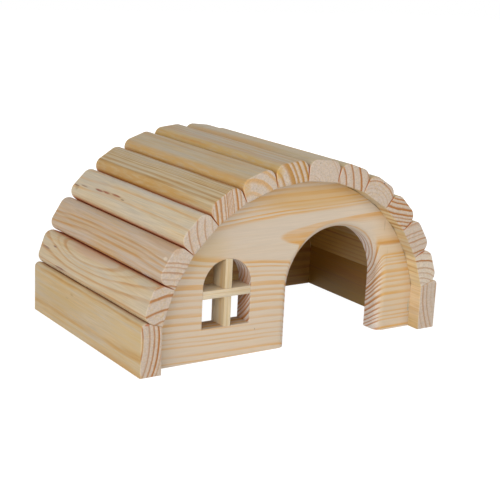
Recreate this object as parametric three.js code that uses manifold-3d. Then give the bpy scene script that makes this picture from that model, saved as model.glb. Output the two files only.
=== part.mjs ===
// A small-animal house of solid pine, open underneath.  Two arch-topped walls
// stand between two upright base slats and carry a ring of roof slats, which
// run front to back and stand out past both walls.  Everything is glued.
//
// Millimetres, +Z up.  X runs across the house, the doorway faces -Y, and the
// origin is on the floor, below the middle of the slats.

import * as THREE from 'three';
import { mergeVertices } from 'three/addons/utils/BufferGeometryUtils.js';
import Module from 'manifold-3d';

const wasm = await Module();
wasm.setup();

// Slats
const insideWidth = 254; // between the inner faces of the two base slats
const slatLength = 192;
const slatThickness = 18;
const roofSlatCount = 12;
const archCentreHeight = 9; // centre of the half ring of slats, above the floor
const roofEdgeRadius = 8; // rounding of a roof slat's two outer edges
const baseEdgeRadius = 4; // rounding of a base slat's outer top edge
const slatEndEasing = 0.8; // sanded rim round a slat's ends

// Walls
const wallThickness = 18;
const frontOverhang = 13; // slats past the front wall
const backOverhang = 15; // slats past the back wall

// Doorway, right of the middle
const doorWidth = 95;
const doorHeight = 95.5;
const doorSideWood = 35.5; // wall left between the doorway and the right side
const doorEdgeRadius = 7.5; // round-over of the doorway's front edge

// Window, left of the doorway
const windowWidth = 44;
const windowHeight = 54.5;
const windowSillHeight = 26;
const windowSideWood = 41.7; // wall left between the window and the left side
const barWidth = 6.5;
const uprightShift = 1; // the upright bar stands this far right of the middle

const glueGap = 0.3; // left between neighbouring pieces

// Steps that round stretches are cut into
const edgeSteps = 6;
const archSteps = 48;
const openingSteps = 32;

// The half circle is shared out among the roof slats and the tops of the two
// base slats, so each takes the same angle.
const segmentAngle = Math.PI / (roofSlatCount + 2);
const ringCornerRadius = insideWidth / 2 / Math.cos(segmentAngle);
const ringRadius = ringCornerRadius * Math.cos(segmentAngle / 2); // to the slats' inner faces
const roofSlatWidth = 2 * ringCornerRadius * Math.sin(segmentAngle / 2) - glueGap;

const wallHalfWidth = insideWidth / 2 - glueGap;
const doorCentreX = wallHalfWidth - doorSideWood - doorWidth / 2;
const windowCentreX = windowSideWood + windowWidth / 2 - wallHalfWidth;
const windowTop = windowSillHeight + windowHeight;

// Sweeps an outline drawn in X and Z along +Y, starting at y = 0.
function sweepAlongY(outline, depth, curveSegments) {
  const geometry = new THREE.ExtrudeGeometry(outline, { depth, curveSegments, bevelEnabled: false });
  geometry.rotateX(Math.PI / 2);
  geometry.translate(0, depth, 0);
  return geometry;
}

// Sweeps an outline along Y like that, and rounds its edges off at both ends.
// The rounding takes wood away, so the outline holds between the two ends.
function sweepWithRoundedEnds(outline, depth, radius, roundSteps, curveSegments) {
  const geometry = new THREE.ExtrudeGeometry(outline, {
    depth: depth - 2 * radius,
    curveSegments,
    bevelThickness: radius,
    bevelSize: radius,
    bevelOffset: -radius,
    bevelSegments: roundSteps,
  });
  geometry.rotateX(Math.PI / 2);
  geometry.translate(0, depth - radius, 0);
  return geometry;
}

function block(lowX, highX, lowY, highY, lowZ, highZ) {
  const geometry = new THREE.BoxGeometry(highX - lowX, highY - lowY, highZ - lowZ);
  geometry.translate((lowX + highX) / 2, (lowY + highY) / 2, (lowZ + highZ) / 2);
  return geometry;
}

function toSolid(geometry) {
  const bare = geometry.clone();
  bare.deleteAttribute('normal');
  bare.deleteAttribute('uv');
  const merged = mergeVertices(bare);
  return new wasm.Manifold(new wasm.Mesh({
    numProp: 3,
    vertProperties: merged.attributes.position.array,
    triVerts: new Uint32Array(merged.index.array),
  }));
}

function toGeometry(solid) {
  const { vertProperties, triVerts } = solid.getMesh();
  const indexed = new THREE.BufferGeometry();
  indexed.setAttribute('position', new THREE.BufferAttribute(vertProperties, 3));
  indexed.setIndex(new THREE.BufferAttribute(triVerts, 1));
  const geometry = indexed.toNonIndexed();
  geometry.computeVertexNormals();
  return geometry;
}

function pineMesh(name, geometry, color) {
  const material = new THREE.MeshStandardMaterial({ color, roughness: 0.62, metalness: 0 });
  const mesh = new THREE.Mesh(geometry, material);
  mesh.name = name;
  return mesh;
}

// Inner face at z = 0, sharp inner edges that meet the neighbours' edges, and
// rounded outer edges, which leave a groove between every two slats.
function roofSlatOutline() {
  const half = roofSlatWidth / 2;
  const radius = Math.min(roofEdgeRadius, half, slatThickness);
  const outline = new THREE.Shape();
  outline.moveTo(-half, 0);
  outline.lineTo(half, 0);
  outline.absarc(half - radius, slatThickness - radius, radius, 0, Math.PI / 2, false);
  outline.absarc(radius - half, slatThickness - radius, radius, Math.PI / 2, Math.PI, false);
  outline.closePath();
  return outline;
}

// Inner face at x = 0.  The top is planed to the slope of the first roof
// slat's side, which rests on it.
function baseSlatOutline() {
  const slope = segmentAngle * 1.5;
  const cornerHeight = archCentreHeight + ringCornerRadius * Math.sin(segmentAngle);
  const innerHeight = cornerHeight - glueGap / 2 / Math.cos(slope);
  const outerHeight = innerHeight + slatThickness * Math.tan(slope);
  const turn = Math.PI / 2 + slope;
  const outline = new THREE.Shape();
  outline.moveTo(0, 0);
  outline.lineTo(slatThickness, 0);
  outline.absarc(
    slatThickness - baseEdgeRadius,
    outerHeight - baseEdgeRadius * Math.tan(turn / 2),
    baseEdgeRadius, 0, turn, false,
  );
  outline.lineTo(0, innerHeight);
  outline.closePath();
  return outline;
}

// Upright sides as far as the arch, which the slats' inner faces touch.
function wallOutline() {
  const radius = ringRadius - glueGap;
  const startAngle = Math.acos(wallHalfWidth / radius);
  const outline = new THREE.Shape();
  outline.moveTo(-wallHalfWidth, 0);
  outline.lineTo(wallHalfWidth, 0);
  outline.absarc(0, archCentreHeight, radius, startAngle, Math.PI - startAngle, false);
  outline.closePath();
  return outline;
}

// The window: upright sides, a flat sill and a half-round head.  With a margin
// it is the outline that the glazing bars are fitted to.
function windowOutline(margin) {
  const radius = windowWidth / 2 - margin;
  const springHeight = windowTop - windowWidth / 2;
  const outline = new THREE.Shape();
  outline.moveTo(windowCentreX - radius, windowSillHeight + margin);
  outline.lineTo(windowCentreX + radius, windowSillHeight + margin);
  outline.absarc(windowCentreX, springHeight, radius, 0, Math.PI, false);
  outline.closePath();
  return outline;
}

// A plate that is larger than the wall all round, with the doorway cut up into
// it from below.  Rounding the plate's ends rounds the doorway's front edge.
function doorwayPlateOutline() {
  const reach = insideWidth;
  const radius = doorWidth / 2;
  const outline = new THREE.Shape();
  outline.moveTo(-reach, -reach);
  outline.lineTo(doorCentreX - radius, -reach);
  outline.absarc(doorCentreX, doorHeight - radius, radius, Math.PI, 0, true);
  outline.lineTo(doorCentreX + radius, -reach);
  outline.lineTo(reach, -reach);
  outline.lineTo(reach, reach);
  outline.lineTo(-reach, reach);
  outline.closePath();
  return outline;
}

function makeFrontWall() {
  const plateDepth = wallThickness + 2 * doorEdgeRadius;
  const plate = sweepWithRoundedEnds(
    doorwayPlateOutline(), plateDepth, doorEdgeRadius, edgeSteps, openingSteps,
  );
  const wall = toSolid(sweepAlongY(wallOutline(), wallThickness, archSteps));
  const windowCut = sweepAlongY(windowOutline(0), 3 * wallThickness, openingSteps);
  windowCut.translate(0, -wallThickness, 0);
  return toGeometry(wall.intersect(toSolid(plate)).subtract(toSolid(windowCut)));
}

// The glazing bars fill the wall's thickness and are halved over each other:
// the cross bar runs through in front, the upright behind.
function makeGlazingBars() {
  const fit = toSolid(sweepAlongY(windowOutline(glueGap), wallThickness, openingSteps));
  const uprightX = windowCentreX + uprightShift;
  const crossZ = windowSillHeight + windowHeight / 2;
  const half = barWidth / 2;
  const lap = wallThickness / 2;
  const leftX = windowCentreX - windowWidth;
  const rightX = windowCentreX + windowWidth;

  const upright = toSolid(block(uprightX - half, uprightX + half, 0, wallThickness, 0, windowTop));
  const uprightNotch = toSolid(block(
    uprightX - barWidth, uprightX + barWidth,
    -lap, lap + glueGap / 2,
    crossZ - half - glueGap, crossZ + half + glueGap,
  ));
  const cross = toSolid(block(leftX, rightX, 0, wallThickness, crossZ - half, crossZ + half));
  const crossNotch = toSolid(block(
    uprightX - half - glueGap, uprightX + half + glueGap,
    lap - glueGap / 2, wallThickness + lap,
    crossZ - barWidth, crossZ + barWidth,
  ));
  return {
    upright: toGeometry(upright.intersect(fit).subtract(uprightNotch)),
    cross: toGeometry(cross.intersect(fit).subtract(crossNotch)),
  };
}

const house = new THREE.Group();

// Base slats: the same slat twice, the left one turned end for end.
const baseSlat = sweepWithRoundedEnds(baseSlatOutline(), slatLength, slatEndEasing, 2, edgeSteps);
baseSlat.translate(0, -slatLength / 2, 0);
const baseSlatLeft = pineMesh('base_slat_left', baseSlat, 0xc9b086);
baseSlatLeft.position.x = -insideWidth / 2;
baseSlatLeft.rotation.z = Math.PI;
const baseSlatRight = pineMesh('base_slat_right', baseSlat, 0xcbb48c);
baseSlatRight.position.x = insideWidth / 2;
house.add(baseSlatLeft, baseSlatRight);

// Roof slats, counted from the left.
const roofSlat = sweepWithRoundedEnds(roofSlatOutline(), slatLength, slatEndEasing, 2, edgeSteps);
roofSlat.translate(0, -slatLength / 2, 0);
const roof = new THREE.Group();
roof.position.z = archCentreHeight;
for (let index = 0; index < roofSlatCount; index += 1) {
  const angle = Math.PI - segmentAngle * (index + 1.5);
  const name = `roof_slat_${String(index + 1).padStart(2, '0')}`;
  const slat = pineMesh(name, roofSlat, index % 2 ? 0xc8ae82 : 0xcdb68e);
  slat.position.set(ringRadius * Math.cos(angle), 0, ringRadius * Math.sin(angle));
  slat.rotation.y = Math.PI / 2 - angle;
  roof.add(slat);
}
house.add(roof);

// Front wall with its glazing bars, and the plain back wall.
const front = new THREE.Group();
front.position.y = frontOverhang - slatLength / 2;
const bars = makeGlazingBars();
front.add(
  pineMesh('front_wall', makeFrontWall(), 0xd2bd9b),
  pineMesh('window_upright_bar', bars.upright, 0xd6c29f),
  pineMesh('window_cross_bar', bars.cross, 0xd4bf9c),
);
house.add(front);

const backWall = pineMesh('back_wall', sweepAlongY(wallOutline(), wallThickness, archSteps), 0xccb48d);
backWall.position.y = slatLength / 2 - backOverhang - wallThickness;
house.add(backWall);

export default house;
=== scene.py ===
import math
import random

import bmesh
import bpy
from mathutils import Matrix, Vector


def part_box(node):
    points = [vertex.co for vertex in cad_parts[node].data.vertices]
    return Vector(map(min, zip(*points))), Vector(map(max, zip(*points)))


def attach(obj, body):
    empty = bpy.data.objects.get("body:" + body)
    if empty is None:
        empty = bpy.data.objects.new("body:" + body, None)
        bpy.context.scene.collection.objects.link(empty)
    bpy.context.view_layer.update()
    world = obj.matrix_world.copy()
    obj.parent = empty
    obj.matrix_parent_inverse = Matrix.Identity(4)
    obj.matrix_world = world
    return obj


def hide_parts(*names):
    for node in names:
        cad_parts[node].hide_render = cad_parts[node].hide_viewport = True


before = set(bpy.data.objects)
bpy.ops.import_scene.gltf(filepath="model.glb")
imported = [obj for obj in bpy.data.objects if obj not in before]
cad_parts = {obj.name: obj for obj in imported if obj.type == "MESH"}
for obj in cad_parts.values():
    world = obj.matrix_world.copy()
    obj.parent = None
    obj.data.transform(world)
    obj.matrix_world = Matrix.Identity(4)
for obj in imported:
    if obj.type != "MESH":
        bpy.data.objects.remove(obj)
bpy.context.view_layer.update()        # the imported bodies, nodes, joints and record

# A pet house of solid pine.  Lengths are in millimetres here and become metres
# where a mesh or an object is made.
mm = 0.001


def sizesFromFrame():
    leftLow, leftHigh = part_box("base_slat_left")
    rightLow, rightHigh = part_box("base_slat_right")
    wallLow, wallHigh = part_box("front_wall")
    backLow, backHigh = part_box("back_wall")
    inMm = lambda metres: round(metres / mm, 2)
    return {
        "insideWidth": inMm(rightLow.x - leftHigh.x),
        "slatThickness": inMm(rightHigh.x - rightLow.x),
        "slats": (inMm(leftLow.y), inMm(leftHigh.y)),       # from the front to the back
        "frontWall": (inMm(wallLow.y), inMm(wallHigh.y)),
        "backWall": (inMm(backLow.y), inMm(backHigh.y)),
    }


house = sizesFromFrame()
house.update({
    "roofSlatCount": 12,
    "archCentre": 9,      # centre of the half ring of slats, above the floor
    "seam": 0.01,         # what is left between glued pieces
})
slatFront, slatBack = house["slats"]
wallFront, wallBack = house["frontWall"]
segmentAngle = math.pi / (house["roofSlatCount"] + 2)
cornerRadius = house["insideWidth"] / 2 / math.cos(segmentAngle)
ringRadius = cornerRadius * math.cos(segmentAngle / 2)
print("frame read:", house)


# ---- camera, light and floor

cameraLook = {
    "place": (-546.1, -819.8, 314.4),
    "turnRight": 34.30,   # degrees, from looking straight at the doorway wall
    "tiltDown": 14.39,
    "roll": 2.82,
    "lens": 85.23,
    "sensor": 36,
}


def addCamera(look):
    data = bpy.data.cameras.new("camera")
    data.lens = look["lens"]
    data.sensor_width = look["sensor"]
    data.clip_start = 0.01
    camera = bpy.data.objects.new("camera", data)
    turn = (Matrix.Rotation(-math.radians(look["turnRight"]), 4, "Z")
            @ Matrix.Rotation(math.radians(90 - look["tiltDown"]), 4, "X")
            @ Matrix.Rotation(math.radians(look["roll"]), 4, "Z"))
    camera.matrix_world = Matrix.Translation(Vector(look["place"]) * mm) @ turn
    bpy.context.scene.collection.objects.link(camera)
    bpy.context.scene.camera = camera


def toLinear(hexColour):
    channels = [int(hexColour[i:i + 2], 16) / 255 for i in (1, 3, 5)]
    return [c / 12.92 if c <= 0.04045 else ((c + 0.055) / 1.055) ** 2.4 for c in channels] + [1]


def addNode(tree, kind, inputs=(), **settings):
    # Inputs fill the sockets in use from the top, or go by name in a dictionary.
    # A node is linked by its first output in use, a socket as it is, and anything
    # else is set, a hex colour as linear.
    node = tree.nodes.new("ShaderNode" + kind)
    for name, value in settings.items():
        setattr(node, name, value)
    if isinstance(inputs, dict):
        filled = [(node.inputs[name], value) for name, value in inputs.items()]
    else:
        filled = zip([socket for socket in node.inputs if socket.enabled], inputs)
    for socket, value in filled:
        if isinstance(value, bpy.types.Node):
            value = next(output for output in value.outputs if output.enabled)
        if isinstance(value, bpy.types.NodeSocket):
            tree.links.new(value, socket)
        else:
            socket.default_value = toLinear(value) if isinstance(value, str) else value
    return node


def newTree(owner):
    owner.use_nodes = True
    owner.node_tree.nodes.clear()
    return owner.node_tree


def seenDirectly(tree):
    # 1 for what the camera sees, straight or in a reflection or through glass
    path = addNode(tree, "LightPath").outputs
    shiny = addNode(tree, "Math", [path["Is Glossy Ray"], path["Is Transmission Ray"]], operation="MAXIMUM")
    return addNode(tree, "Math", [path["Is Camera Ray"], shiny], operation="MAXIMUM")


studio = {
    "roomLight": (0.14, 0.37),   # strength of the room at eye level and overhead
    "roomColour": "#E9F0FF",
    "floorBounce": "#F0F0EE",
    "floorWhite": 1.27,          # strength of the white that the camera sees
    "floorShadow": 0.22,         # how much of the real shading the seen floor keeps
    "shadowReach": (260, 620),
    "floorSize": 8000,
    "floorBelow": 0.2,           # keeps the floor off the undersides
    "lamps": [
        # name, place, aimed at, side length, watts, whether the wood mirrors it
        ("side_softbox", (-1450, -900, 520), (0, 0, 70), 1400, 21.5, True),
        ("front_softbox", (300, -1500, 650), (0, 0, 70), 1400, 10, True),
        ("right_softbox", (1700, 250, 100), (0, 0, 60), 900, 3.5, False),
        ("back_softbox", (350, 1650, 100), (0, 0, 60), 900, 5, False),
    ],
}


def addRoom(look):
    world = bpy.data.worlds.new("white room")
    bpy.context.scene.world = world
    tree = newTree(world)
    direct = seenDirectly(tree)
    direction = addNode(tree, "SeparateXYZ", [addNode(tree, "TexCoord").outputs["Generated"]])
    low, high = look["roomLight"]
    gradient = addNode(tree, "MapRange", [direction.outputs["Z"], 0, 1, low, high])
    strength = addNode(tree, "Mix", [direct, gradient, 1.0], data_type="FLOAT")
    tint = addNode(tree, "Mix", [direct, look["roomColour"], "#FFFFFF"], data_type="RGBA")
    addNode(tree, "OutputWorld", [addNode(tree, "Background", [tint, strength])])


def addFloor(look):
    half, low = look["floorSize"] / 2 * mm, -look["floorBelow"] * mm
    mesh = bpy.data.meshes.new("floor")
    mesh.from_pydata([(-half, -half, low), (half, -half, low), (half, half, low), (-half, half, low)],
                     [], [(0, 1, 2, 3)])
    floor = bpy.data.objects.new("floor", mesh)
    bpy.context.scene.collection.objects.link(floor)
    paper = bpy.data.materials.new("white background paper, matt")
    tree = newTree(paper)
    shaded = addNode(tree, "BsdfDiffuse", [look["floorBounce"]])
    white = addNode(tree, "Emission", ["#FFFFFF", look["floorWhite"]])
    away = addNode(tree, "VectorMath", [addNode(tree, "TexCoord").outputs["Object"]], operation="LENGTH")
    near, far = look["shadowReach"]
    whiteShare = addNode(tree, "MapRange", [away, near * mm, far * mm, 1 - look["floorShadow"], 1])
    share = addNode(tree, "Math", [seenDirectly(tree), whiteShare], operation="MULTIPLY")
    addNode(tree, "OutputMaterial", [addNode(tree, "MixShader", [share, shaded, white])])
    mesh.materials.append(paper)


def addLamps(look):
    for name, place, target, side, watts, mirrored in look["lamps"]:
        lamp = bpy.data.lights.new(name, "AREA")
        lamp.shape = "SQUARE"
        lamp.size = side * mm
        lamp.energy = watts
        holder = bpy.data.objects.new(name, lamp)
        holder.visible_glossy = mirrored
        aim = (Vector(target) - Vector(place)).to_track_quat("-Z", "Y").to_matrix().to_4x4()
        holder.matrix_world = Matrix.Translation(Vector(place) * mm) @ aim
        bpy.context.scene.collection.objects.link(holder)


addCamera(cameraLook)
addRoom(studio)
addFloor(studio)
addLamps(studio)
bpy.context.scene.view_settings.view_transform = "Standard"
print("camera, floor and lamps placed")


# ---- pine

# Unfinished pine, planed and sanded.  The eye gets pale wood with tan growth
# rings: long soft stripes on the faces, sharp reddish arcs on the sawn ends.
pineBasics = {
    "earlywood": "#D2BC91",      # on faces that run with the grain
    "latewood": "#BC8440",
    "endEarlywood": "#C5B3A1",   # on ends sawn across it
    "endLatewood": "#A2620C",
    "stray": 0.7,                # mm that a ring strays from its circle
    "strayWidth": 26,            # mm across the grain from one stray to the next
    "strayLength": 90,           # and along it
    "ripple": 0.8,               # mm, the same on a finer scale
    "rippleSize": (3.2, 24),
    "faceContrast": 0.85,
    "endContrast": 0.95,
    "endSpread": 1.0,            # below 1, rings are broader on the ends
    "latewoodEdge": (1.5, 0.45),  # latewood widths before the ring: where it starts, where it is dark
    "ringEdge": 0.12,            # share of a ring over which its dark side ends
    "ringFill": 0.24,            # how far the wood darkens within each ring
    "gold": "#C89A48",           # streaks where the wood is resinous
    "goldShare": 0.5,
    "grey": "#BDB0A0",           # and where it isn't
    "greyShare": 0.5,
    "streakWidth": 2.6,          # mm
    "streakLength": 75,
    "patchSize": (16, 90),
    "endStain": "#C8A566",
    "endStainShare": 0.42,
    "fibreWidth": 0.8,           # mm; real fibres are far finer, this is what shows
    "fibreLength": 30,
    "fibreShade": 0.12,
    "poreShade": 0.2,            # specks on the ends, from cut fibres
    "reliefHeight": 0.06,        # mm that latewood stands proud
    "reliefStrength": 0.35,
    "roughness": 0.52,
    "grooveShadeColour": "#CC7A48",      # painted shade: a reddish brown line deep in each groove, for its shade and bounced light
    # painted shade, multiplied into the faces inside the cabin
    "cabinShade": "#C4A55B",
    "sides": None,               # outward mm between which the painted groove shade comes in
    "inside": None,              # where the faces look into the cabin
    "bulge": None,
    "squeeze": 0,
    "marks": [],
}
rampLimit = 32                   # stops that one colour ramp can hold
ringMargin = 3                   # mm of rings past a piece's corners


def ringRange(pith, section):
    # section is the piece's own ranges, across and outward
    distances = [math.hypot(a - p[1], b - p[2]) for a in section[0] for b in section[1] for p in pith]
    return min(distances) - ringMargin, max(distances) + ringMargin


def allRings(look, section, seed):
    # the rings seen on the real piece, and more of the same past them on both sides
    low, high = ringRange(look["pith"], section)
    dice = random.Random(seed)
    found = sorted(look["rings"])
    width = sum(ring[2] for ring in found) / len(found)
    while found[0][0] > low:
        distance = found[0][0] - look["spacing"] * dice.uniform(0.8, 1.2)
        found.insert(0, (distance, look["faint"] * dice.uniform(0.6, 1.3), width))
    while found[-1][0] < high:
        distance = found[-1][0] + look["spacing"] * dice.uniform(0.8, 1.2)
        found.append((distance, look["faint"] * dice.uniform(0.6, 1.3), width))
    return found[:rampLimit]


def fillRamp(ramp, stops, interpolation):
    # stops are (position from 0 to 1, (red, green, blue))
    ramp.interpolation = interpolation
    while len(ramp.elements) > 1:
        ramp.elements.remove(ramp.elements[-1])
    for index, (position, values) in enumerate(stops):
        element = ramp.elements[0] if index == 0 else ramp.elements.new(position)
        element.position = position
        element.color = (*values, 1)


def grainPlace(tree, grain, place, turn):
    # millimetres from a corner of the stick it was cut from: along the grain,
    # across and outward.  A slat is only ever turned about its own length.
    here = addNode(tree, "TexCoord")
    inMetres = [c * mm for c in place]
    local = addNode(tree, "Mapping", [here.outputs["Object"], inMetres, (0, turn, 0), (mm, mm, mm)],
                    vector_type="TEXTURE")
    axes = addNode(tree, "SeparateXYZ", [local])
    facing = addNode(tree, "SeparateXYZ", [here.outputs["Normal"]])
    return [axes.outputs[name] for name in grain], facing.outputs[grain[0]]


def grainNoise(tree, point, offset, width, length, detail, roughness=0.5, scale=1.0):
    # patches so many mm across, drawn out along the grain
    fineness = (1 / width, 1 / length, 1 / width)
    stretched = addNode(tree, "VectorMath", [point, fineness, offset], operation="MULTIPLY_ADD")
    return addNode(tree, "TexNoise", [stretched, scale, detail, roughness])


def fromPith(tree, look, here, alongRange):
    # mm from the line where the pith ran, at this place along the grain
    along, across, outward = here
    pith = look["pith"]
    low, high = alongRange
    # the ramp holds the line's two offsets as shares of these spans
    spans = [(min(p[i] for p in pith) - 1, max(p[i] for p in pith) + 1) for i in (1, 2)]
    share = lambda value, span: (value - span[0]) / (span[1] - span[0])
    route = addNode(tree, "ValToRGB", [addNode(tree, "MapRange", [along, low, high, 0, 1])])
    fillRamp(route.color_ramp, [(share(p[0], alongRange), (share(p[1], spans[0]), share(p[2], spans[1]), 0))
                                for p in pith], "CARDINAL")
    route = addNode(tree, "SeparateColor", [route])
    away = []
    for place, line, (least, most) in zip((across, outward), route.outputs, spans):
        line = addNode(tree, "Math", [line, most - least, least], operation="MULTIPLY_ADD")
        away.append(addNode(tree, "Math", [place, line], operation="SUBTRACT"))
    if look["squeeze"]:
        # rings lie closer together on the far side of the pith
        beyond = addNode(tree, "Math", [away[1], 0], operation="MAXIMUM")
        away[1] = addNode(tree, "Math", [beyond, look["squeeze"], away[1]], operation="MULTIPLY_ADD")
    return addNode(tree, "VectorMath", [addNode(tree, "CombineXYZ", away)], operation="LENGTH")


def swellRings(tree, bulge, along, across, radius):
    # rings swell round a branch that stood near by: a bell along the grain, steeper
    # behind than in front, and across it less with the square of the way out
    off = addNode(tree, "Math", [across, bulge["across"]], operation="SUBTRACT")
    off = addNode(tree, "Math", [off, bulge["reach"]], operation="DIVIDE")
    off = addNode(tree, "Math", [off, off], operation="MULTIPLY")
    hill = addNode(tree, "Math", [1.0, off], operation="SUBTRACT", use_clamp=True)
    down = addNode(tree, "Math", [along, bulge["along"]], operation="SUBTRACT")
    behind = addNode(tree, "Math", [down, 0], operation="MAXIMUM")
    inFront, further = bulge["lengths"]
    down = addNode(tree, "Math", [down, inFront], operation="DIVIDE")
    down = addNode(tree, "Math", [behind, 1 / further - 1 / inFront, down], operation="MULTIPLY_ADD")
    down = addNode(tree, "Math", [down, down], operation="MULTIPLY")
    down = addNode(tree, "Math", [down, -1], operation="MULTIPLY")
    bell = addNode(tree, "Math", [down], operation="EXPONENT")
    hill = addNode(tree, "Math", [hill, bell], operation="MULTIPLY")
    return addNode(tree, "Math", [hill, bulge["lift"], radius], operation="MULTIPLY_ADD")


def ringBands(tree, look, radius, section, seed):
    # how dark the rings make the wood, from 0 to 1, at this distance from the pith
    rings = allRings(look, section, seed)
    first, last = rings[0][0], rings[-1][0]
    stops = []
    for index, (r, dark, width) in enumerate(rings):
        gap = r - rings[index - 1][0] if index else rings[1][0] - r
        share = min(width / gap, 0.9)
        stops.append(((r - first) / (last - first), (index / (len(rings) - 1), dark, share)))
    table = addNode(tree, "ValToRGB", [addNode(tree, "MapRange", [radius, first, last, 0, 1])])
    fillRamp(table.color_ramp, stops, "LINEAR")
    # ring number, how dark that ring is, how wide its latewood
    number, dark, width = addNode(tree, "SeparateColor", [table]).outputs
    number = addNode(tree, "Math", [number, len(rings) - 1, 0.5], operation="MULTIPLY_ADD")
    past = addNode(tree, "Math", [number], operation="FRACT")
    past = addNode(tree, "Math", [past, 0.5], operation="SUBTRACT")
    starts, darkFrom = [addNode(tree, "Math", [width, -widths], operation="MULTIPLY")
                        for widths in look["latewoodEdge"]]
    rising = addNode(tree, "MapRange", [past, starts, darkFrom, 0, 1], interpolation_type="SMOOTHSTEP")
    falling = addNode(tree, "MapRange", [past, 0, look["ringEdge"], 1, 0], interpolation_type="SMOOTHSTEP")
    band = addNode(tree, "Math", [rising, falling], operation="MULTIPLY")
    band = addNode(tree, "Math", [band, dark], operation="MULTIPLY")
    # and a slow darkening from each ring to the next
    slow = addNode(tree, "Math", [number, 0.5], operation="SUBTRACT")
    slow = addNode(tree, "Math", [slow], operation="FRACT")
    slow = addNode(tree, "Math", [slow, 2], operation="POWER")
    slow = addNode(tree, "Math", [slow, dark], operation="MULTIPLY")
    return addNode(tree, "Math", [slow, look["ringFill"], band], operation="MULTIPLY_ADD", use_clamp=True)


def ellipsoidMask(tree, point, centre, size, edge):
    # 1 inside, falling to 0 at the ellipsoid's surface; point is across, along, outward
    moved = addNode(tree, "VectorMath", [point, centre], operation="SUBTRACT")
    shrunk = addNode(tree, "VectorMath", [moved, [s / 2 for s in size]], operation="DIVIDE")
    far = addNode(tree, "VectorMath", [shrunk], operation="LENGTH")
    return addNode(tree, "MapRange", [far, 1, 1 - edge, 0, 1], interpolation_type="SMOOTHSTEP")


def cabinMask(tree, here, inside):
    # 1 on the faces that look into the cabin: here is along, across and outward
    axis, low, high = inside["depth"]
    mask = addNode(tree, "MapRange", [here[axis], low, high, 1, 0])
    for edge, step in inside.get("between", []):
        kept = addNode(tree, "MapRange", [here[0], edge, edge + step, 0, 1])
        mask = addNode(tree, "Math", [mask, kept], operation="MULTIPLY")
    return mask


def grooveMask(tree, sides, outward, squareOn):
    # 1 on a slat's sides, deep in the grooves
    deep = addNode(tree, "MapRange", [outward, *sides, 0, 1])
    offInside = addNode(tree, "MapRange", [outward, 0.3, 0.8, 0, 1])
    onSide = addNode(tree, "MapRange", [squareOn, 0.3, 0.7, 1, 0])
    deep = addNode(tree, "Math", [deep, offInside], operation="MULTIPLY")
    return addNode(tree, "Math", [deep, onSide], operation="MULTIPLY")


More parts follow.
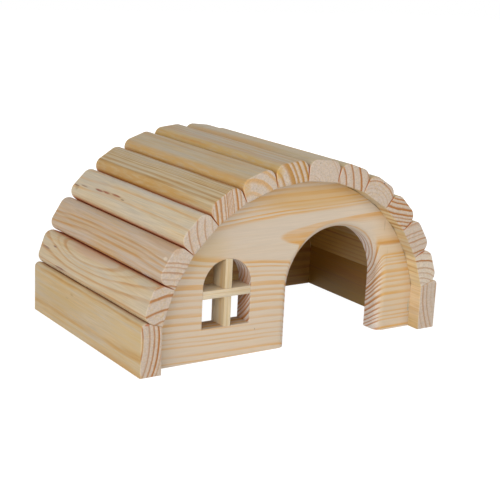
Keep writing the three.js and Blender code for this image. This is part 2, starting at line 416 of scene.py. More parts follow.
def pineMaterial(name, ownLook, grain, alongRange, section, seed, place=(0, 0, 0), turn=0):
    look = {**pineBasics, **ownLook}
    material = bpy.data.materials.new("pine, planed and sanded, " + name)
    tree = newTree(material)
    here, facingGrain = grainPlace(tree, grain, place, turn)
    along, across, outward = here
    point = addNode(tree, "CombineXYZ", [across, along, outward])
    dice = random.Random(seed)
    offset = [dice.uniform(-500, 500) for _ in range(3)]

    # a tree never grows true circles
    stray = grainNoise(tree, point, offset, look["strayWidth"], look["strayLength"], 2)
    strayBy = addNode(tree, "MapRange", [stray, 0.25, 0.75, -look["stray"], look["stray"]], clamp=False)
    radius = addNode(tree, "Math", [fromPith(tree, look, here, alongRange), strayBy], operation="ADD")
    ripple = grainNoise(tree, point, offset, *look["rippleSize"], 2)
    rippleBy = addNode(tree, "Math", [ripple, 0.5], operation="SUBTRACT")
    radius = addNode(tree, "Math", [rippleBy, look["ripple"], radius], operation="MULTIPLY_ADD")
    if look["bulge"]:
        radius = swellRings(tree, look["bulge"], along, across, radius)
    band = ringBands(tree, look, radius, section, seed)

    # streaks along the faces, golden where there is resin and greyish where not
    streaks = grainNoise(tree, point, offset, look["streakWidth"], look["streakLength"], 4, 0.6)
    patches = grainNoise(tree, point, offset, *look["patchSize"], 3)
    streaks = addNode(tree, "Math", [streaks, patches], operation="ADD")
    goldBy = addNode(tree, "MapRange", [streaks, 0.95, 1.35, 0, look["goldShare"]])
    greyBy = addNode(tree, "MapRange", [streaks, 1.02, 0.65, 0, look["greyShare"]])
    ground = addNode(tree, "Mix", [goldBy, look["earlywood"], look["gold"]], data_type="RGBA")
    ground = addNode(tree, "Mix", [greyBy, ground, look["grey"]], data_type="RGBA")

    # the same rings look softer along a face than on a sawn end
    contrast = look["faceContrast"]
    comeAndGo = addNode(tree, "MapRange", [streaks, 0.8, 1.2, 0.5 * contrast, 1.2 * contrast])
    faceBand = addNode(tree, "Math", [band, comeAndGo], operation="MULTIPLY", use_clamp=True)
    faceColour = addNode(tree, "Mix", [faceBand, ground, look["latewood"]], data_type="RGBA")

    # ends drink up more dirt and yellow in patches of about 2 mm
    stains = grainNoise(tree, point, offset, 1 / 0.45, 1 / 0.45, 5, 0.7)
    stainBy = addNode(tree, "MapRange", [stains, 0.46, 0.72, 0, look["endStainShare"]])
    endGround = addNode(tree, "Mix", [stainBy, look["endEarlywood"], look["endStain"]], data_type="RGBA")
    endBand = addNode(tree, "Math", [band, look["endSpread"]], operation="POWER")
    endBand = addNode(tree, "Math", [endBand, look["endContrast"]], operation="MULTIPLY")
    endColour = addNode(tree, "Mix", [endBand, endGround, look["endLatewood"]], data_type="RGBA")

    # fibres along the faces, specks on the ends
    fibres = grainNoise(tree, point, offset, look["fibreWidth"], look["fibreLength"], 3, 0.6)
    specks = addNode(tree, "TexNoise", [point, 1.1, 4, 0.7])
    fibre, pore = look["fibreShade"], look["poreShade"]
    fibreLight = addNode(tree, "MapRange", [fibres, 0.3, 0.7, 1 - fibre, 1 + fibre])
    speckLight = addNode(tree, "MapRange", [specks, 0.3, 0.7, 1 - pore, 1 + pore])
    faceColour = addNode(tree, "VectorMath", [faceColour, fibreLight], operation="SCALE")
    endColour = addNode(tree, "VectorMath", [endColour, speckLight], operation="SCALE")

    # sawn across the grain where the surface faces along it
    squareOn = addNode(tree, "Math", [facingGrain], operation="ABSOLUTE")
    endShare = addNode(tree, "MapRange", [squareOn, 0.35, 0.85, 0, 1], interpolation_type="SMOOTHSTEP")
    colour = addNode(tree, "Mix", [endShare, faceColour, endColour], data_type="RGBA")

    if look["sides"]:
        # painted shade: a thin reddish brown line at the bottom of each groove, for the shade and the light
        # bounced between the slats
        mask = grooveMask(tree, look["sides"], outward, squareOn)
        colour = addNode(tree, "Mix", [mask, colour, look["grooveShadeColour"]], data_type="RGBA")

    if look["inside"]:
        # painted shade: the faces inside the cabin are darkened and browned, as shade falls there
        shadedInside = addNode(tree, "Mix", [1.0, colour, look["cabinShade"]],
                          data_type="RGBA", blend_type="MULTIPLY")
        mask = cabinMask(tree, here, look["inside"])
        colour = addNode(tree, "Mix", [mask, colour, shadedInside], data_type="RGBA")

    # single marks: resin streaks, specks, a small knot
    for mark in look["marks"]:
        mask = ellipsoidMask(tree, point, mark["at"], mark["size"], mark["edge"])
        torn = grainNoise(tree, point, offset, *look["rippleSize"], 3, scale=2)
        broken = addNode(tree, "MapRange", [torn, 0.4, 0.55, 1 - mark["broken"], 1])
        strength = addNode(tree, "Math", [mask, broken], operation="MULTIPLY")
        strength = addNode(tree, "Math", [strength, mark["strength"]], operation="MULTIPLY")
        colour = addNode(tree, "Mix", [strength, colour, mark["colour"]], data_type="RGBA")

    # sanding wears the soft earlywood down a little, so latewood stands proud
    relief = addNode(tree, "Math", [fibres, 0.5, band], operation="MULTIPLY_ADD")
    bump = addNode(tree, "Bump", {
        "Height": relief, "Strength": look["reliefStrength"], "Distance": look["reliefHeight"] * mm})
    dull = look["roughness"]
    shine = addNode(tree, "MapRange", [fibres, 0.3, 0.7, dull - 0.05, dull + 0.05])
    shader = addNode(tree, "BsdfPrincipled", {
        "Base Color": colour, "Roughness": shine, "Normal": bump, "IOR": 1.5})
    addNode(tree, "OutputMaterial", [shader])
    return material


# ---- meshes

def loftLoops(bm, loops):
    # loops are points in mm, as many in each, and neighbouring loops are joined
    made = [[bm.verts.new([c * mm for c in point]) for point in loop] for loop in loops]
    for one, two in zip(made, made[1:]):
        for i in range(len(one)):
            j = (i + 1) % len(one)
            bm.faces.new((one[i], one[j], two[j], two[i]))
    return made


def closedLoft(loops):
    bm = bmesh.new()
    made = loftLoops(bm, loops)
    bm.faces.new(made[0])
    bm.faces.new(made[-1])
    return bm


def finishMesh(node, bm, sharpAngle=32):
    bmesh.ops.recalc_face_normals(bm, faces=bm.faces)
    mesh = bpy.data.meshes.new("pine_" + node)
    bm.to_mesh(mesh)
    bm.free()
    mesh.shade_smooth()
    mesh.set_sharp_from_angle(angle=math.radians(sharpAngle))
    piece = bpy.data.objects.new("pine_" + node, mesh)
    bpy.context.scene.collection.objects.link(piece)
    return piece


def addPiece(piece, node, material):
    piece.data.materials.append(material)
    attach(piece, "root")
    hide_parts(node)


def arc(centre, radius, startDegrees, endDegrees, steps):
    found = []
    for step in range(steps + 1):
        angle = math.radians(startDegrees + (endDegrees - startDegrees) * step / steps)
        found.append((centre[0] + radius * math.cos(angle), centre[1] + radius * math.sin(angle)))
    return found


def joinCorners(corners):
    # each straight stretch gets points close to both its ends, so that shading stays flat
    points = []
    for corner, following in zip(corners, corners[1:] + corners[:1]):
        start, end = corner[-1], following[0]
        points += corner
        points += [(start[0] + (end[0] - start[0]) * s, start[1] + (end[1] - start[1]) * s)
                   for s in (0.03, 0.5, 0.97)]
    return points


slatEdge = {
    "endEasing": 0.9,      # sanded rim round the ends
    "easingSteps": 4,
    "roofRadius": 8,       # rounding of a roof slat's outer edges
    "baseRadius": 4,
    "radiusSteps": 9,
    "innerEasing": 0.25,   # inner edges, just broken
    "lean": 0.65,          # how far a roof slat's side leans towards its neighbour
    "shyTop": 0.14,        # keeps the leaning slats inside the real height
    "rows": 40,
    "wander": 0.35,        # how far the hand-sanded rounding strays from its radius
}


def roofOutline(inset, radius, leans):
    half = cornerRadius * math.sin(segmentAngle / 2) - house["seam"] / 2 - inset
    top = house["slatThickness"] - slatEdge["shyTop"] - inset
    left, right = leans
    r = radius - inset
    e = slatEdge["innerEasing"]
    steps = slatEdge["radiusSteps"]
    return joinCorners([
        arc((half + right - r, top - r), r, 0, 90, steps),
        arc((r - half - left, top - r), r, 90, 180, steps),
        arc((e - half, inset + e), e, 180, 270, 2),
        arc((half - e, inset + e), e, 270, 360, 2),
    ])


def baseOutline(inset, radius):
    # x outward from the inner face, z up; the top is planed to the first roof slat's side
    slope = segmentAngle * 1.5
    width = house["slatThickness"]
    inner = house["archCentre"] + cornerRadius * math.sin(segmentAngle) - house["seam"]
    outer = inner + width * math.tan(slope)
    turn = math.pi / 2 + slope
    r = radius - inset
    e = slatEdge["innerEasing"]
    # where the sharp outer top corner of the inset outline lies
    cornerX = width - inset
    cornerZ = outer - inset * math.tan(turn / 2)
    fromCorner = r * math.tan(turn / 2)
    return joinCorners([
        arc((cornerX - r, cornerZ - fromCorner), r, 0, math.degrees(turn), slatEdge["radiusSteps"]),
        [(inset, inner - inset * math.tan((math.pi / 2 - slope) / 2))],
        arc((inset + e, inset + e), e, 180, 270, 2),
        arc((width - inset - e, inset + e), e, 270, 360, 2),
    ])


def slatRows(outline, radius, seed):
    # (inset, y) down the slat: cap, rounded rim, long middle, rounded rim, cap.  The
    # rows just beside each rim keep the end and the long faces flat.
    easing, steps = slatEdge["endEasing"], slatEdge["easingSteps"]
    length = slatBack - slatFront
    rim = [(easing + 0.4, 0.0)]
    for step in range(steps + 1):
        angle = math.pi / 2 * step / steps
        rim.append((easing * (1 - math.sin(angle)), easing * (1 - math.cos(angle))))
    rim.append((0.0, easing + 0.5))
    count = slatEdge["rows"]
    middle = [(0.0, length * (step + 1) / (count + 2)) for step in range(count + 1)]
    stations = rim + middle + [(inset, length - y) for inset, y in reversed(rim)]
    # the edges' radius sways with three waves of 40 to 130 mm
    dice = random.Random(seed)
    waves = [(dice.uniform(40, 130), dice.uniform(0, 2 * math.pi)) for _ in range(3)]
    rows = []
    for inset, y in stations:
        sway = sum(math.sin(2 * math.pi * y / wave + phase) for wave, phase in waves) / 3
        loop = outline(inset, radius + slatEdge["wander"] * sway)
        rows.append([(a, slatFront + y, b) for a, b in loop])
    return rows


# ---- slats

betweenWalls = [(wallBack - 0.2, 0.2), (house["backWall"][0] + 0.2, -0.2)]
insideSkin = (0.1, 0.5)      # mm into the wood over which the cabin's painted shade ends


def markAt(at, size, colour, strength, edge=0.6, broken=0):
    # at and size are across, along and outward; edge is the soft share of its radius
    return {"at": at, "size": size, "colour": colour, "strength": strength, "edge": edge, "broken": broken}


def onSlat(look, insideAxis, side=1):
    # a look's places count from the slat's front end, and the left base slat mirrors them
    found = dict(look)
    skin = [side * depth for depth in insideSkin]
    found["inside"] = {"depth": (insideAxis, *skin), "between": betweenWalls}
    found["pith"] = [(slatFront + along, side * across, outward) for along, across, outward in look["pith"]]
    found["marks"] = []
    for mark in look.get("marks", []):
        across, along, outward = mark["at"]
        found["marks"].append({**mark, "at": (side * across, slatFront + along, outward)})
    if "bulge" in look:
        found["bulge"] = {**look["bulge"], "along": slatFront + look["bulge"]["along"]}
    return found


# One entry per roof slat, from the left.  pith: where the middle of the tree
# ran, as (mm from the front end, across, outward).  rings: the growth rings
# that cross the slat, as (mm from the pith, darkness, mm of latewood).  The
# other numbers and colours stand in for those of pineBasics.
roofSlats = [
    {   # 01, with a swirl from a branch along its upper edge
        "pith": [(0, -45, -20), (192, -45, -20)],
        "rings": [(41.5, 0.7, 1.3), (51.4, 0.85, 1.5), (62.3, 0.95, 2.0), (70.3, 0.7, 1.6),
                  (74.2, 0.3, 0.9), (78.0, 0.9, 1.9), (84.5, 0.4, 1.4)],
        "spacing": 8, "faint": 0.3,
        "bulge": {"across": 9, "reach": 20, "along": 118, "lengths": (84, 52), "lift": 17},
        "earlywood": "#D0BC9A", "latewood": "#BE8A4C", "faceContrast": 0.7, "goldShare": 0.35,
        "greyShare": 0.6, "ringFill": 0.4, "endStainShare": 0.6, "endContrast": 0.85, "endSpread": 1.6,
        "marks": [
            markAt((-10.6, 148, 17), (2.4, 30, 5), "#7A4434", 0.95, broken=0.5),
            markAt((0, 181, 18), (2.4, 20, 4), "#7C5C50", 0.85, broken=0.4),
            markAt((4, 166, 18), (1.8, 9, 4), "#784C40", 0.85, broken=0.3),
            markAt((14, 108, 16), (16, 120, 14), "#C99A7E", 0.4),
            markAt((-14.3, 13, 10), (3, 20, 5), "#DCD8D4", 0.9, broken=0.9),
        ],
    },
    {   # 02
        "pith": [(0, -78.2, -25), (40, -75.4, -25), (90, -74.4, -25), (140, -75.4, -25),
                 (192, -78.4, -25)],
        "rings": [(71.9, 0.9, 1.7), (76.9, 0.35, 1.0), (82.1, 0.7, 1.6), (86.1, 0.5, 1.1),
                  (89.2, 0.65, 1.5)],
        "spacing": 4.2, "faint": 0.12, "earlywood": "#C6AE94", "latewood": "#BC863E",
        "faceContrast": 0.9, "goldShare": 0.55, "greyShare": 0.4, "endContrast": 0.8, "endSpread": 1.3,
        "marks": [
            markAt((2, 5, 18), (4, 7, 3), "#E9D9C0", 0.6),
            markAt((-14.2, 25, 11.5), (5, 22, 7), "#D6D0D0", 0.9, broken=0.7),
            markAt((12, 15, 16), (12, 100, 12), "#B98A5C", 0.45),
            markAt((6.5, 158, 17), (2.5, 14, 5), "#9C7A50", 0.35, broken=0.5),
        ],
    },
    {   # 03, pale, with a broken dark resin streak
        "pith": [(0, 30.1, -11.2), (100, 30.1, -11.2), (150, 28.5, -11.4), (192, 26.5, -11.4)],
        "rings": [(25.7, 0.3, 0.8), (32.1, 0.5, 0.8), (38.4, 0.55, 0.8), (45.4, 0.55, 0.8),
                  (53.6, 0.5, 1.6)],
        "spacing": 6.5, "faint": 0.3, "earlywood": "#D6C3A2", "latewood": "#CE9648",
        "faceContrast": 0.8,
        "marks": [
            markAt((-2.4, 132, 18), (4, 60, 3), "#B58652", 0.5, broken=0.3),
            markAt((-1.6, 120, 18), (2.2, 21, 3), "#9C5020", 1.0, broken=0.35),
            markAt((-2.4, 136, 18), (2.2, 17, 3), "#984818", 1.0, broken=0.3),
            markAt((-3.1, 148, 18), (2.4, 19, 3), "#883C10", 1.0, broken=0.15),
            markAt((-3.0, 107, 18), (1.7, 8, 3), "#94704A", 0.85),
            markAt((-4.7, 174, 18), (1.8, 16, 3), "#8C5528", 0.9, broken=0.3),
            markAt((-6.6, 186, 18), (2.0, 14, 3), "#7E4A24", 0.9, broken=0.2),
            markAt((-8.6, 183, 17), (5, 8, 6), "#A58C66", 0.6, broken=0.2),
            # painted highlight: a pale grey band along the upper edge, for the cool light from above
            markAt((12, 60, 16), (7, 260, 14), "#D3C8BB", 0.5),
        ],
    },
    {   # 04, from near the bark: many narrow rings
        "pith": [(0, -198.1, 91.9), (192, -198.1, 91.9)],
        "rings": [(205.0, 0.95, 2.6), (209.1, 0.7, 1.4), (212.7, 0.6, 1.0), (214.8, 0.85, 1.2),
                  (216.0, 0.6, 0.6), (217.2, 0.6, 0.6), (218.4, 0.6, 0.6), (219.8, 0.7, 0.7),
                  (223.9, 0.95, 1.4)],
        "spacing": 3.2, "faint": 0.4, "earlywood": "#CBB68E", "latewood": "#AC7C30",
        "faceContrast": 0.88, "gold": "#BE9040", "goldShare": 0.85, "streakWidth": 1.3,
        "endLatewood": "#AA6C14",
        # partly painted light: golden resin streaks along the left rounding, and painted warm light where
        # it faces the lamps
        "marks": [markAt((-12, 130, 14), (10, 260, 18), "#BF8C34", 0.75, edge=0.35, broken=0.4)],
    },
    {   # 05, wide soft rings
        "pith": [(0, -12.2, -4.9), (192, -12.2, -4.9)],
        "rings": [(12.3, 0.45, 2.4), (22.4, 0.65, 3.2), (29.8, 0.6, 2.0)],
        "spacing": 7.5, "faint": 0.4, "earlywood": "#C6B18C", "faceContrast": 0.45, "goldShare": 0.6,
        "streakWidth": 2.0, "endLatewood": "#C49044",
        # partly painted light: golden resin streaks along the left rounding, and painted warm light where
        # it faces the lamps
        "marks": [markAt((-14, 96, 13), (17, 420, 20), "#C99A48", 0.75, broken=0.5)],
    },
    {   # 06
        "pith": [(0, -35.2, -4.2), (192, -30.2, -4.2)],
        "rings": [(27.9, 0.7, 1.6), (37.4, 0.8, 5.0), (40.8, 0.75, 1.8), (45.3, 0.9, 1.6),
                  (49.9, 0.9, 1.9), (53.6, 0.8, 1.6)],
        "spacing": 4.4, "faint": 0.6, "earlywood": "#C4B08C", "faceContrast": 0.5, "goldShare": 0.65,
        "streakWidth": 2.0, "endLatewood": "#AA7410", "endStainShare": 0.7,
        "marks": [
            # partly painted light: golden resin streaks along the left rounding, and painted warm light
            # where it faces the lamps
            markAt((-14, 96, 13), (17, 420, 20), "#C99E48", 0.75, broken=0.5),
            markAt((-12, 130, 14), (3, 90, 8), "#BE7F30", 0.6, broken=0.4),
        ],
    },
    {   # 07, pale and nearly plain
        "pith": [(0, -11.6, -3.6), (192, -11.6, -3.6)],
        "rings": [(12, 0.06, 0.8), (14.6, 0.08, 0.8), (17, 0.05, 0.8), (19.8, 0.1, 0.8),
                  (22.3, 0.05, 0.8), (24.6, 0.08, 0.8), (27.3, 0.32, 1.0)],
        "spacing": 2.6, "faint": 0.12, "earlywood": "#C8B28A",
        "marks": [
            markAt((-6, 0, 15), (1.6, 6, 1), "#6A5A48", 0.7),
            # partly painted light: golden resin streaks along the left rounding, and painted warm light
            # where it faces the lamps
            markAt((-13, 120, 13), (14, 190, 20), "#CFA060", 0.75, broken=0.3),
        ],
    },
    {   # 08
        "pith": [(0, -39.6, -15.4), (192, -39.6, -15.4)],
        "rings": [(38.1, 0.75, 1.2), (46.0, 0.75, 1.2), (53.7, 0.95, 1.5), (60.5, 0.45, 1.2)],
        "spacing": 7.4, "faint": 0.5, "earlywood": "#D8C192",
    },
    {   # 09, cut close to the pith
        "pith": [(0, 0.3, -9.3), (192, 3, -9.3)],
        "rings": [(12.2, 0.1, 0.8), (15.2, 0.14, 0.8), (18.9, 0.24, 0.9), (21.7, 0.1, 0.8),
                  (25.2, 0.7, 1.1), (27.9, 0.16, 0.8)],
        "spacing": 3.2, "faint": 0.15, "endStainShare": 0.6,
        "marks": [markAt((-0.5, 0, 16), (2, 6, 2), "#565046", 0.85)],
    },
    {   # 10, strong reddish rings
        "pith": [(0, -56.9, 98.7), (192, -56.9, 98.7)],
        "rings": [(97.4, 0.85, 1.2), (100.7, 0.85, 1.3), (105.3, 1.0, 1.7), (109.6, 0.9, 1.4),
                  (112.2, 0.6, 1.0), (115.2, 0.8, 1.1), (118.5, 0.9, 1.3)],
        "spacing": 3.4, "faint": 0.8, "earlywood": "#E2CDA0", "endStainShare": 0.65, "endSpread": 1.1,
    },
    {   # 11
        "pith": [(0, 128.8, -36.7), (192, 128.8, -36.7)],
        "rings": [(124.6, 0.8, 1.4), (130, 0.3, 1.0), (134.9, 0.65, 1.2), (139.1, 0.3, 1.0),
                  (142.1, 0.5, 1.1), (150.3, 0.45, 1.2)],
        "spacing": 4.6, "faint": 0.3,
    },
    {   # 12
        "pith": [(0, 25.9, -6), (192, 25.9, -6)],
        "rings": [(17.3, 0.3, 1.0), (21.7, 0.45, 1.1), (26.4, 0.4, 1.1), (30.9, 0.5, 1.1),
                  (37.4, 0.85, 1.1), (43.4, 0.45, 1.2)],
        "spacing": 4.8, "faint": 0.35, "earlywood": "#E6CFA2", "endEarlywood": "#D2C2AE",
        "endSpread": 1.1,
    },
]
grooveShadeDepths = (13.5, 9.5)    # outward mm between which a roof slat's sides get the painted groove shade


def addRoofSlats():
    half = cornerRadius * math.sin(segmentAngle / 2)
    section = ((-half, half), (0, house["slatThickness"]))
    for index, look in enumerate(roofSlats):
        node = f"roof_slat_{index + 1:02d}"
        angle = math.pi - segmentAngle * (index + 1.5)
        turn = math.pi / 2 - angle
        place = (ringRadius * math.cos(angle), 0, house["archCentre"] + ringRadius * math.sin(angle))
        seat = Matrix.Translation(place) @ Matrix.Rotation(turn, 4, "Y")
        # a side that lies flat on a base slat doesn't lean
        left = slatEdge["lean"] if index > 0 else 0
        right = slatEdge["lean"] if index < len(roofSlats) - 1 else 0
        outline = lambda inset, radius: roofOutline(inset, radius, (left, right))
        rows = slatRows(outline, slatEdge["roofRadius"], seed=index)
        piece = finishMesh(node, closedLoft([[seat @ Vector(point) for point in row] for row in rows]))
        placed = {**onSlat(look, 2), "sides": grooveShadeDepths}
        material = pineMaterial(node, placed, "YXZ", house["slats"], section, 100 + index, place, turn)
        addPiece(piece, node, material)


addRoofSlats()
print("roof slats made:", house["roofSlatCount"])


# The base slats stand on edge.  Here across is outward from the inner face,
# and outward is up.
baseSlats = {
    "base_slat_left": {
        "side": -1,
        "pith": [(0, 80.9, 28.4), (192, 80.55, 25.9)],
        "rings": [(64.69, 0.9, 0.55), (70.7, 0.45, 1.2), (74.5, 0.7, 1.3), (78.5, 0.95, 1.4),
                  (81.4, 0.3, 1.0)],
        "spacing": 4.3, "faint": 0.3, "stray": 0.3, "earlywood": "#C9B188", "latewood": "#BF9048",
        "goldShare": 0.6, "greyShare": 0.7,
        "marks": [
            markAt((18, 118, 33), (5, 7, 3), "#A8844E", 0.5),
            markAt((18, 127, 28), (3, 8, 1.4), "#8C7C66", 0.6, broken=0.5),
            markAt((18, 40, 1), (8, 130, 9), "#BF8F45", 0.65),
            markAt((18, 20, 26), (8, 90, 22), "#CFAF72", 0.5),
            markAt((18, 145, 22), (8, 110, 20), "#C2A060", 0.5),
            # painted shade: a reddish brown line along the groove under the first roof slat
            markAt((13, 96, 41.6), (6, 900, 2.6), "#B06A40", 0.9),
        ],
    },
    "base_slat_right": {
        "side": 1,
        "pith": [(0, 86, 34.7), (192, 86, 31)],
        "rings": [(69.7, 0.4, 1.4), (74.5, 0.12, 1.0), (79.5, 0.4, 1.3), (83.8, 0.5, 1.4)],
        # a stronger painted shade on the inner face inside the cabin
        "spacing": 4.4, "faint": 0.3, "cabinShade": "#A8842C", "earlywood": "#E0C59C",
        "latewood": "#A8743C",
        "marks": [
            markAt((0, 130, 31), (2, 240, 1.8), "#8A6030", 0.5, broken=0.4),
            markAt((0, 140, 18), (2, 300, 2.2), "#805424", 0.6, broken=0.3),
            markAt((0, 120, 9.5), (2, 220, 1.6), "#8A6030", 0.5, broken=0.4),
            markAt((0, 120, 0), (2, 500, 44), "#9C8038", 0.45, edge=0.9),
        ],
    },
}
baseHeight = 44


def addBaseSlats():
    for node, look in baseSlats.items():
        side = look["side"]
        place = (side * house["insideWidth"] / 2, 0, 0)
        rows = slatRows(baseOutline, slatEdge["baseRadius"], seed=50 + side)
        rows = [[(place[0] + side * x, y, z) for x, y, z in row] for row in rows]
        section = ((0, side * house["slatThickness"]), (0, baseHeight))
        placed = onSlat(look, 1, side)
        material = pineMaterial(node, placed, "YXZ", house["slats"], section, 140 + side, place)
        addPiece(finishMesh(node, closedLoft(rows)), node, material)


addBaseSlats()
print("base slats made")


# ---- walls

wallSizes = {
    "doorWidth": 95,
    "doorHeight": 95.5,
    "doorSideWood": 35.5,     # left between the doorway and the wall's right side
    "doorEdgeRadius": 7.5,
    "doorBackEasing": 0.5,
    "windowWidth": 44,
    "windowHeight": 54.5,
    "windowSill": 26,
    "windowSideWood": 41.7,   # left between the window and the wall's left side
    "windowEasing": 0.3,
    "barWidth": 6.5,
    "uprightShift": 1,        # the upright bar stands this far right of the middle
    "barEasing": 0.35,
    "cadClearance": 0.3,      # the CAD wall stops this far short of the slats
    "archSteps": 96,
    "openingSteps": 56,
}
wallHalf = house["insideWidth"] / 2 - house["seam"]
cadHalf = house["insideWidth"] / 2 - wallSizes["cadClearance"]
doorHalf = wallSizes["doorWidth"] / 2
doorCentre = cadHalf - wallSizes["doorSideWood"] - doorHalf
windowHalf = wallSizes["windowWidth"] / 2
windowCentre = wallSizes["windowSideWood"] + windowHalf - cadHalf
windowSpring = wallSizes["windowSill"] + wallSizes["windowHeight"] - windowHalf


def wallArch():
    radius = ringRadius - house["seam"]
    start = math.degrees(math.acos(wallHalf / radius))
    return arc((0, house["archCentre"]), radius, start, 180 - start, wallSizes["archSteps"])


def frontWallLoop(doorGrown):
    # seen from the front, from the left bottom corner round by the doorway
    spring = wallSizes["doorHeight"] - doorHalf
    head = arc((doorCentre, spring), doorHalf + doorGrown, 180, 0, wallSizes["openingSteps"])
    left, right = head[0][0], head[-1][0]
    legSteps = 6
    loop = [(-wallHalf, 0), (left, 0)]
    loop += [(left, spring * step / legSteps) for step in range(1, legSteps)]
    loop += head
    loop += [(right, spring * step / legSteps) for step in range(legSteps - 1, 0, -1)]
    loop += [(right, 0), (wallHalf, 0)]
    return loop + wallArch()


def windowLoop(grown):
    half = windowHalf + grown
    low = wallSizes["windowSill"] - grown
    head = arc((windowCentre, windowSpring), half, 0, 180, wallSizes["openingSteps"])
    left, right = windowCentre - half, windowCentre + half
    sides = [(right, low + (windowSpring - low) * step / 4) for step in range(4)]
    down = [(left, windowSpring - (windowSpring - low) * step / 4) for step in range(1, 4)]
    return sides + head + down + [(left, low)]


def fillBetween(bm, loops):
    # flat triangles between an outline and the holes in it
    edges = []
    for loop in loops:
        for i in range(len(loop)):
            edges.append(bm.edges.get((loop[i], loop[(i + 1) % len(loop)])))
    bmesh.ops.triangle_fill(bm, edges=edges, use_beauty=True)


def makeFrontWall(node):
    # rows are (how far in, how much the opening grows), each rounding between two
    # close rows that keep the flat faces flat
    thickness = wallBack - wallFront
    radius, steps = wallSizes["doorEdgeRadius"], 9
    rows = [(0.0, radius + 0.5)]
    for step in range(steps + 1):
        angle = math.pi / 2 * step / steps
        rows.append((radius * (1 - math.cos(angle)), radius * (1 - math.sin(angle))))
    easing = wallSizes["doorBackEasing"]
    rows += [(radius + 0.6, 0.0), (thickness - easing - 0.3, 0.0), (thickness - easing, 0.0),
             (thickness, easing), (thickness, easing + 0.3)]
    bm = bmesh.new()
    outer = loftLoops(bm, [[(x, wallFront + y, z) for x, z in frontWallLoop(grown)] for y, grown in rows])
    e = wallSizes["windowEasing"]
    windowRows = [(0.0, e), (e, 0.0), (thickness - e, 0.0), (thickness, e)]
    hole = loftLoops(bm, [[(x, wallFront + y, z) for x, z in windowLoop(grown)] for y, grown in windowRows])
    fillBetween(bm, [outer[0], hole[0]])
    fillBetween(bm, [outer[-1], hole[-1]])
    return finishMesh(node, bm)


def makeBackWall(node):
    loop = [(-wallHalf, 0), (wallHalf, 0)] + wallArch()
    return finishMesh(node, closedLoft([[(x, y, z) for x, z in loop] for y in house["backWall"]]))


# For a board, grain names the axes that run along, across and outward, and section
# is its ranges across and outward.  Both walls run across the house, so here across
# is front to back and outward is up.
insideRange = (-house["insideWidth"] / 2, house["insideWidth"] / 2)
wallTop = 138
wallLooks = {
    "front_wall": {
        "make": makeFrontWall, "grain": "XYZ", "range": insideRange, "seed": 10,
        "section": (house["frontWall"], (0, 94.5, wallTop)),
        # the middle of the tree ran 65 mm behind the face and nears it to the right
        "pith": [(-127, -15.1, 94.5), (-91, -16.05, 93.8), (-55, -17.05, 93.2), (-18, -18.08, 93),
                 (18, -19.06, 91.7), (54, -19.75, 91.4), (91, -20.05, 92.1), (127, -20.1, 92.2)],
        "rings": [(64.62, 1.0, 1.0), (68.1, 0.85, 0.6), (68.9, 0.8, 0.5), (70.5, 0.45, 0.4),
                  (71.8, 0.9, 1.0), (75.4, 0.95, 1.5), (77.8, 0.75, 1.1), (80.3, 0.8, 1.1),
                  (83.4, 0.85, 1.2), (87.6, 1.0, 1.7), (91.7, 0.85, 1.2), (95.4, 0.8, 1.0),
                  (99.1, 0.75, 1.0), (101.9, 0.6, 0.8), (104.4, 0.75, 1.0), (110.4, 0.75, 1.1)],
        "spacing": 3.5, "faint": 0.7, "squeeze": 0.1, "stray": 0.15, "ripple": 0.07, "strayLength": 140,
        "earlywood": "#D0BEA7", "latewood": "#CF9A50", "faceContrast": 0.96, "goldShare": 0.16,
        "greyShare": 0.12, "fibreShade": 0.05, "ringFill": 0.12, "ringEdge": 0.06,
        "endEarlywood": "#E0D6CC", "endLatewood": "#B0680E", "endStainShare": 0.25, "endSpread": 0.5,
        "marks": [
            markAt((-83, -35.5, 20), (4, 1, 2.2), "#5C4C40", 0.8),
            markAt((-83, 92, 93), (4, 1.4, 13), "#8A7A68", 0.45, broken=0.3),
            markAt((-83, 97, 67), (4, 1, 18), "#9C866C", 0.3, broken=0.4),
            markAt((-83, 108, 60), (40, 80, 150), "#DDB87C", 0.28),
            markAt((-83, 100, 77.5), (8, 44, 5), "#C48A3C", 0.75),
            markAt((-83, 20, 123), (40, 170, 28), "#C69A52", 0.65),
            markAt((-83, -62, 30), (5, 160, 120), "#D6C0A4", 0.38, edge=0.5),
            markAt((-72, -41.6, 50), (20, 9, 80), "#B0703C", 0.5),
            markAt((-72, -63, 26), (20, 50, 6), "#A87448", 0.45),
            markAt((-83, -90, 90), (40, 70, 40), "#C6AC78", 0.35),
            markAt((-83, 125.4, 18.5), (4, 1.8, 15), "#8FA89C", 0.6, broken=0.4),
        ],
    },
    "back_wall": {
        "make": makeBackWall, "grain": "XYZ", "range": insideRange, "seed": 9,
        "section": (house["backWall"], (0, 50, wallTop)),
        "pith": [(-127, -12, 50), (127, -6, 52)],
        "rings": [(78, 0.6, 1.2), (82, 0.5, 1.2), (85, 0.7, 1.2)],
        "spacing": 3.6, "faint": 0.6,
        # painted shade on the face that looks into the cabin
        "inside": {"depth": (1, house["backWall"][0] + 0.1, house["backWall"][0] + 0.4)},
        "cabinShade": "#D0B46A", "earlywood": "#CBB088", "latewood": "#A8743C", "faceContrast": 0.98,
    },
}


def addBoards(looks):
    for node, look in looks.items():
        material = pineMaterial(node, look, look["grain"], look["range"], look["section"], look["seed"])
        addPiece(look["make"](node), node, material)


addBoards(wallLooks)
print("walls made")


# ---- glazing bars, halved over each other

barHalf = wallSizes["barWidth"] / 2
uprightX = windowCentre + wallSizes["uprightShift"]
crossZ = wallSizes["windowSill"] + wallSizes["windowHeight"] / 2
lap = (wallFront + wallBack) / 2


def makeBar(node, rows):
    bm = closedLoft(rows)
    bmesh.ops.recalc_face_normals(bm, faces=bm.faces)
    sharp = [edge for edge in bm.edges
             if len(edge.link_faces) == 2 and edge.calc_face_angle() > math.radians(50)]
    bmesh.ops.bevel(bm, geom=sharp, offset=wallSizes["barEasing"] * mm, segments=2, profile=0.5,
                    affect="EDGES")
    return finishMesh(node, bm)


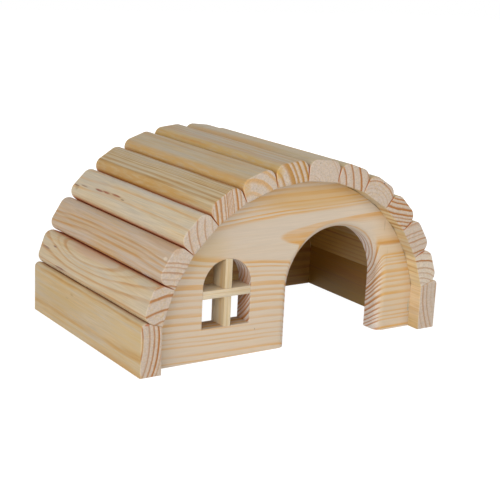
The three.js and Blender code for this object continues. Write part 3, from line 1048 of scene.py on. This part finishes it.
def makeUprightBar(node):
    # a side view with the notch in front, swept across the bar's width
    crossLow = crossZ - barHalf - house["seam"]
    crossHigh = crossLow + wallSizes["barWidth"] + 2 * house["seam"]
    low = wallSizes["windowSill"] + house["seam"]
    headRadius = windowHalf - house["seam"]
    rows = []
    for step in range(9):
        x = uprightX - barHalf + wallSizes["barWidth"] * step / 8
        high = windowSpring + math.sqrt(headRadius ** 2 - (x - windowCentre) ** 2)
        side = [(wallBack, low), (wallBack, high), (wallFront, high), (wallFront, crossHigh),
                (lap, crossHigh), (lap, crossLow), (wallFront, crossLow), (wallFront, low)]
        rows.append([(x, y, z) for y, z in side])
    return makeBar(node, rows)


def makeCrossBar(node):
    # a view from above with the notch behind, swept up the bar's height
    left, right = windowCentre - windowHalf + house["seam"], windowCentre + windowHalf - house["seam"]
    notchLeft, notchRight = uprightX - barHalf - house["seam"], uprightX + barHalf + house["seam"]
    plan = [(left, wallFront), (right, wallFront), (right, wallBack), (notchRight, wallBack),
            (notchRight, lap), (notchLeft, lap), (notchLeft, wallBack), (left, wallBack)]
    return makeBar(node, [[(x, y, crossZ + z) for x, y in plan] for z in (-barHalf, 0, barHalf)])


barLooks = {
    "window_upright_bar": {
        "make": makeUprightBar, "grain": "ZXY", "range": (20, 85), "seed": 54,
        "section": ((windowCentre - 4, windowCentre + 6), house["frontWall"]),   # a little wide
        "pith": [(20, -30, -60), (85, -30, -60)],
        "rings": [(36, 0.4, 1.0), (40, 0.3, 1.0), (44, 0.4, 1.0)],
        "spacing": 3, "faint": 0.3, "earlywood": "#D8C6A4", "latewood": "#CFA76C",
    },
    "window_cross_bar": {
        "make": makeCrossBar, "grain": "XYZ", "range": (-90, -35), "seed": 48,
        "section": (house["frontWall"], (48, 58)),
        "pith": [(-90, -100, 30), (-35, -100, 30)],
        "rings": [(30, 0.25, 1.0), (35, 0.2, 1.0), (40, 0.25, 1.0)],
        "spacing": 4, "faint": 0.25, "earlywood": "#D8C6A6", "latewood": "#CFA76C",
    },
}
addBoards(barLooks)
print("glazing bars made")
